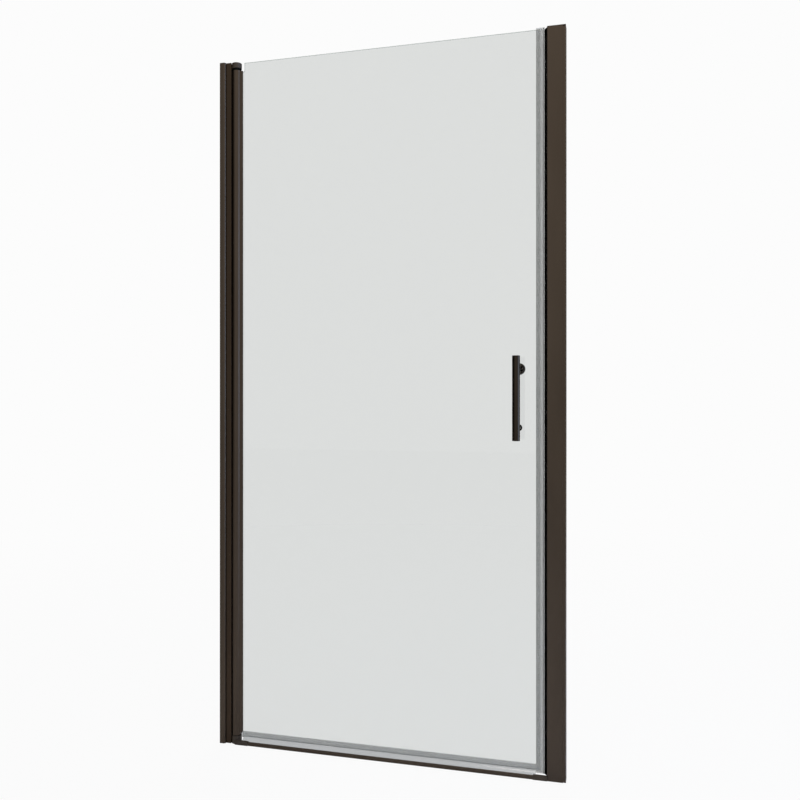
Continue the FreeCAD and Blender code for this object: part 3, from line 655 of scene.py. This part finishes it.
# Glass: 6 mm pane with its corners eased, notches with round inner corners, and ground edges all round
glass = {
    "cornerRadius": 1.5, "notchRadius": 4.0, "topNotch": (10.5, 23.7), "bottomNotch": (5.5, 14.3),
    "holeRadius": 5.5, "holeSteps": 40, "seam": 0.4, "seamSteps": 1, "seamDegrees": 60, "faceShare": 0.9,
}


def makeGlass():
    low, high = corners("glass_panel")
    postLow, postHigh = corners("handle_posts")
    postRadius = (postHigh[0] - postLow[0]) / 2
    holeX = (postLow[0] + postHigh[0]) / 2
    topX, topDrop = glass["topNotch"]
    bottomX, bottomRise = glass["bottomNotch"]
    easy, hollow = glass["cornerRadius"], glass["notchRadius"]
    outline = [
        (low[0] + bottomX, low[2], easy), (high[0], low[2], easy), (high[0], high[2], easy),
        (low[0] + topX, high[2], easy), (low[0] + topX, high[2] - topDrop, hollow),
        (low[0], high[2] - topDrop, easy), (low[0], low[2] + bottomRise, easy),
        (low[0] + bottomX, low[2] + bottomRise, hollow),
    ]
    holes = [circle(holeX, z, glass["holeRadius"], glass["holeSteps"])
             for z in (postLow[2] + postRadius, postHigh[2] - postRadius)]
    start, thickness = (0, high[1], 0), high[1] - low[1]
    mesh = extruded("glassPane", [outline] + holes, thickness, start, paneAxes, materials["glass"])
    work = addObject("glassPaneWork", mesh)
    seam = work.modifiers.new("seamedEdge", "BEVEL")
    seam.width, seam.segments = mm(glass["seam"]), glass["seamSteps"]
    seam.limit_method, seam.angle_limit = "ANGLE", math.radians(glass["seamDegrees"])
    done = softShaded(plainMesh(work))
    dress(done, materials["glass"], materials["groundEdge"])
    # The two large faces stay polished, and the rest is ground
    for face in done.polygons:
        face.material_index = 0 if abs(face.normal.y) > glass["faceShare"] else 1
    handOver("glassPane", done, "glass_panel")


makeGlass()
print("glass made")


# Strike seal: two legs grip the glass, a web, and a hollow nose that holds the magnet strip
strikeSeal = {
    "wall": 1.3, "slack": 0.18, "touch": 0.03, "lip": 1.2, "fade": 1.5, "webEnd": 12.45, "slotEnd": 11.05,
    "noseFront": 2.3, "nose": 19.8, "grooves": (5.9, 11.9), "grooveWidth": 0.8, "grooveDepth": 0.35,
    "round": 0.45, "fine": 0.1, "grooveRound": 0.2, "slotRound": 0.3, "pocketGap": 0.08,
    "chamber": {"wall": 0.6, "front": -3.2, "back": 4.2, "round": 0.4},
}


def makeStrikeSeal():
    facts = strikeSeal
    low, high = corners("strike_seal")
    magnetLow, magnetHigh = corners("door_magnet_strip")
    paneBack = corners("glass_panel")[1][1]
    left, front, back = low[0], low[1], high[1]
    legBack = paneBack + facts["wall"]
    near, far = paneBack + facts["touch"], paneBack + facts["slack"]
    slotEnd, webEnd, noseEnd = left + facts["slotEnd"], left + facts["webEnd"], left + facts["nose"]
    lipEnd, lipFade = left + facts["lip"], left + facts["fade"] * facts["lip"]
    soft, fine, inner = facts["round"], facts["fine"], facts["slotRound"]
    half = facts["grooveWidth"] / 2
    outline = [(left, front, soft)]
    for groove in facts["grooves"]:
        middle = left + groove
        outline += [
            (middle - half, front, fine), (middle, front + facts["grooveDepth"], facts["grooveRound"]),
            (middle + half, front, fine),
        ]
    outline += [
        (high[0], front, soft), (noseEnd, -facts["noseFront"], soft), (noseEnd, back, soft),
        (webEnd, back, soft), (webEnd, legBack, fine), (left, legBack, soft), (left, near, fine),
        (lipEnd, near, fine), (lipFade, far, fine), (slotEnd, far, inner), (slotEnd, -far, inner),
        (lipFade, -far, fine), (lipEnd, -near, fine), (left, -near, fine),
    ]
    gap = facts["pocketGap"]
    pocket = rectangle(magnetLow[0] - gap, magnetHigh[0] + gap, magnetLow[1] - gap, magnetHigh[1] + gap,
                       fine)
    room = facts["chamber"]
    chamber = rectangle(webEnd + room["wall"], magnetLow[0] - room["wall"], room["front"], room["back"],
                        room["round"])
    mesh = extruded("strikeSealVinyl", [outline, pocket, chamber], high[2] - low[2], (0, 0, low[2]),
                    upright, materials["clearUpright"])
    dress(mesh, materials["clearUpright"], materials["gripUprightPaintedShade"])
    # The legs lie on the glass and take the darker tint, painted shade
    for face in mesh.polygons:
        face.material_index = 1 if face.center.x < mm(slotEnd) else 0
    handOver("strikeSealVinyl", mesh, "strike_seal")


# Bottom sweep: a channel pressed on the glass and a soft fin that curves forward over the threshold
bottomSweep = {
    "wall": 1.3, "slack": 0.18, "touch": 0.03, "lip": 1.2, "fade": 1.5, "finRoot": 1.25, "finTip": 0.7,
    "finPull": (0.45, 0.78), "finSteps": 8, "round": 0.4, "slotRound": 0.3, "fine": 0.1, "finGap": 0.05,
    "trimTop": 12.1, "trimLeft": 23.6, "trimRight": 8.4, "finStart": 5.0, "cutReach": 5.0,
}


def makeBottomSweep():
    facts = bottomSweep
    low, high = corners("bottom_sweep")
    paneLow, paneHigh = corners("glass_panel")
    outer = high[1]
    near, far = paneHigh[1] + facts["touch"], paneHigh[1] + facts["slack"]
    floor, glassFoot, top = paneLow[2] - facts["wall"], paneLow[2], high[2]
    lipStart, lipFade = top - facts["lip"], top - facts["fade"] * facts["lip"]
    root, tip = (-outer, glassFoot), (low[1], low[2] + facts["finTip"])
    pullForward, pullUp = facts["finPull"]
    pull = (root[0] + (tip[0] - root[0]) * pullForward, tip[1] + (root[1] - tip[1]) * pullUp)
    upperLine = bend(root, pull, tip, facts["finSteps"])
    lowerRoot, lowerTip = (root[0] + facts["finRoot"], floor), (tip[0], low[2])
    lowerPull = (pull[0] + facts["finRoot"] / 2, pull[1] - facts["finRoot"])
    lowerLine = bend(lowerTip, lowerPull, lowerRoot, facts["finSteps"])
    inner, fine = facts["slotRound"], facts["fine"]
    outline = [(-outer, top, inner)]
    outline += [(y, z, 0) for y, z in upperLine + lowerLine]
    outline += [
        (outer, floor, facts["round"]), (outer, top, inner), (near, top, fine), (near, lipStart, fine),
        (far, lipFade, fine), (far, glassFoot, inner), (-far, glassFoot, inner), (-far, lipFade, fine),
        (-near, lipStart, fine), (-near, top, fine),
    ]
    mesh = extruded("bottomSweepVinyl", [outline], high[0] - low[0], (low[0], 0, 0), acrossOpening,
                    materials["clearAcross"])
    done = softShaded(cutAway("bottomSweep", mesh, sweepTrim(low, high), True))
    dress(done, materials["clearAcross"], materials["softAcross"])
    # What stands forward of the channel is the soft fin
    for face in done.polygons:
        face.material_index = 1 if face.center.y < mm(-outer - facts["finGap"]) else 0
    handOver("bottomSweepVinyl", done, "bottom_sweep")


# What cuts the fin short over the threshold's two sleeves, and off where the channel starts by the clamp
def sweepTrim(low, high):
    facts = bottomSweep
    before = [value - facts["cutReach"] for value in low]
    after = [value + facts["cutReach"] for value in high]
    boxes = [
        (before, (low[0] + facts["trimLeft"], after[1], facts["trimTop"])),
        ((high[0] - facts["trimRight"], before[1], before[2]), (after[0], after[1], facts["trimTop"])),
        (before, (low[0] + facts["finStart"], -high[1], after[2])),
    ]
    shape = bmesh.new()
    for first, last in boxes:
        size = Vector([mm(b - a) for a, b in zip(first, last)])
        middle = Matrix.Translation(Vector([mm(a + b) / 2 for a, b in zip(first, last)]))
        bmesh.ops.create_cube(shape, size=1, matrix=middle @ Matrix.Diagonal(size.to_4d()))
    return meshFrom(shape, "sweepTrim")


# Glazing gasket: black U round the glass's edge, with a long leg outside and a short one inside
gasket = {"wall": 1.1, "backLeg": 3.9, "touch": 0.03, "round": 0.3, "fine": 0.1}


def makeGasket():
    low, high = corners("glazing_gasket")
    paneBack = corners("glass_panel")[1][1]
    inner, outer = paneBack + gasket["touch"], high[1] - gasket["touch"]
    floor, backEnd = low[0] + gasket["wall"] - gasket["touch"], low[0] + gasket["backLeg"]
    soft, fine = gasket["round"], gasket["fine"]
    outline = [
        (low[0], -outer, soft), (high[0], -outer, soft), (high[0], -inner, soft), (floor, -inner, fine),
        (floor, inner, fine), (backEnd, inner, soft), (backEnd, outer, soft), (low[0], outer, soft),
    ]
    mesh = extruded("glazingGasketRubber", [outline], high[2] - low[2], (0, 0, low[2]), upright,
                    materials["vinyl"])
    handOver("glazingGasketRubber", mesh, "glazing_gasket")


makeStrikeSeal()
makeBottomSweep()
makeGasket()
print("seals made")


# Pan-head self-tapping screws: domed head with a cross recess, and a spaced thread that fades into
# the point
screw = {
    "headRadius": 3.4, "headHeight": 2.2, "domeSteps": 8, "rimHeight": 0.7, "rimChamfer": 0.15,
    "coreRadius": 1.35, "threadRadius": 1.85, "pitch": 1.3, "ridgeShare": 0.45, "length": 12.0, "tip": 2.5,
    "stepsPerTurn": 8, "around": 24, "recessSpan": 3.8, "recessWidth": 0.9, "recessDepth": 1.4,
    "recessTaper": 0.55, "cutAbove": 0.2,
}


# How far the thread stands out at this turn, from 0 between its ridges to 1 on them
def threadRidge(turn):
    share = turn % 1.0
    return max(0.0, 1 - abs(2 * share - 1) / screw["ridgeShare"])


def screwMesh():
    length, around, pitch = screw["length"], screw["around"], screw["pitch"]
    coreRadius, headRadius, rimHeight = screw["coreRadius"], screw["headRadius"], screw["rimHeight"]
    ridgeHeight = screw["threadRadius"] - coreRadius
    count = round(length / pitch * screw["stepsPerTurn"])
    rings = []
    for step in range(1, count + 1):
        along = length * step / count
        taper = min(1.0, along / screw["tip"])
        ring = []
        for place in range(around):
            ridge = threadRidge(along / pitch - place / around) if step < count else 0
            ring.append(((coreRadius + ridgeHeight * ridge) * taper, along - length))
        rings.append(ring)
    chamfer, dome = screw["rimChamfer"], screw["headHeight"] - rimHeight
    profile = [(headRadius - chamfer, 0.0), (headRadius, chamfer), (headRadius, rimHeight)]
    for step in range(1, screw["domeSteps"]):
        turn = math.pi / 2 * step / screw["domeSteps"]
        profile.append((headRadius * math.cos(turn), rimHeight + dome * math.sin(turn)))
    rings += [[spot] * around for spot in profile]
    shape = bmesh.new()
    levels = []
    for ring in rings:
        level = []
        for place, (radius, along) in enumerate(ring):
            turn = 2 * math.pi * place / around
            spot = (mm(radius * math.cos(turn)), mm(along), mm(-radius * math.sin(turn)))
            level.append(shape.verts.new(spot))
        levels.append(level)
    point = shape.verts.new((0, mm(-length), 0))
    crown = shape.verts.new((0, mm(screw["headHeight"]), 0))
    for place in range(around):
        after = (place + 1) % around
        for lower, upper in zip(levels, levels[1:]):
            shape.faces.new((lower[place], lower[after], upper[after], upper[place]))
        shape.faces.new((point, levels[0][after], levels[0][place]))
        shape.faces.new((crown, levels[-1][place], levels[-1][after]))
    bmesh.ops.recalc_face_normals(shape, faces=shape.faces)
    return meshFrom(shape, "panScrew")


# A tapered cross that cuts the recess into the head
def recessMesh():
    wide, narrow, taper = screw["recessSpan"] / 2, screw["recessWidth"] / 2, screw["recessTaper"]
    outline = [
        (wide, -narrow), (wide, narrow), (narrow, narrow), (narrow, wide), (-narrow, wide),
        (-narrow, narrow), (-wide, narrow), (-wide, -narrow), (-narrow, -narrow), (-narrow, -wide),
        (narrow, -wide), (narrow, -narrow),
    ]
    top, floor = screw["headHeight"] + screw["cutAbove"], screw["headHeight"] - screw["recessDepth"]
    shape = bmesh.new()
    upper = [shape.verts.new((mm(x), mm(top), mm(z))) for x, z in outline]
    lower = [shape.verts.new((mm(x * taper), mm(floor), mm(z * taper))) for x, z in outline]
    shape.faces.new(upper)
    shape.faces.new(lower[::-1])
    for place in range(len(outline)):
        after = (place + 1) % len(outline)
        shape.faces.new((upper[place], upper[after], lower[after], lower[place]))
    bmesh.ops.recalc_face_normals(shape, faces=shape.faces)
    return meshFrom(shape, "recess")


# Rows of screws: one screw repeated on evenly spaced points
def makeRowTree():
    tree, given = makeTree("screwRow", {
        "Screw": "Geometry", "Count": "Int", "First Place": "Vector", "Step": "Vector",
        "Finish": "Material"})
    line = addNode(tree, "GeometryNodeMeshLine", {
        "Count": given.outputs["Count"], "Start Location": given.outputs["First Place"],
        "Offset": given.outputs["Step"]}, mode="OFFSET")
    row = addNode(tree, "GeometryNodeInstanceOnPoints", {
        "Points": line.outputs[0], "Instance": given.outputs["Screw"]})
    return endTree(tree, given, row)


# Each row's piece and how many screws it has
screwRows = {
    "hinge_fixing_screws": ("hingeFixingScrewRow", 3),
    "strike_fixing_screws": ("strikeFixingScrewRow", 3),
    "bracket_screws": ("pivotBracketScrewPair", 2),
}


def makeScrewRows():
    tree = makeRowTree()
    single = cutAway("panScrew", screwMesh(), recessMesh(), False)
    for nodeName, (pieceName, count) in screwRows.items():
        low, high = corners(nodeName)
        first = ((low[0] + high[0]) / 2, high[1] - screw["headHeight"], low[2] + screw["headRadius"])
        step = (high[2] - low[2] - 2 * screw["headRadius"]) / (count - 1)
        work = addObject(pieceName + "Work", single.copy())
        modifier = work.modifiers.new("row", "NODES")
        modifier.node_group = tree
        setInputs(modifier, {
            "Count": count, "First Place": [mm(value) for value in first], "Step": [0.0, 0.0, mm(step)],
            "Finish": materials["steel"]})
        mesh = plainMesh(work)
        dress(mesh, materials["steel"])
        handOver(pieceName, softShaded(mesh), nodeName)


makeScrewRows()
print("screws made")

bpy.context.scene.view_settings.view_transform = "Standard"
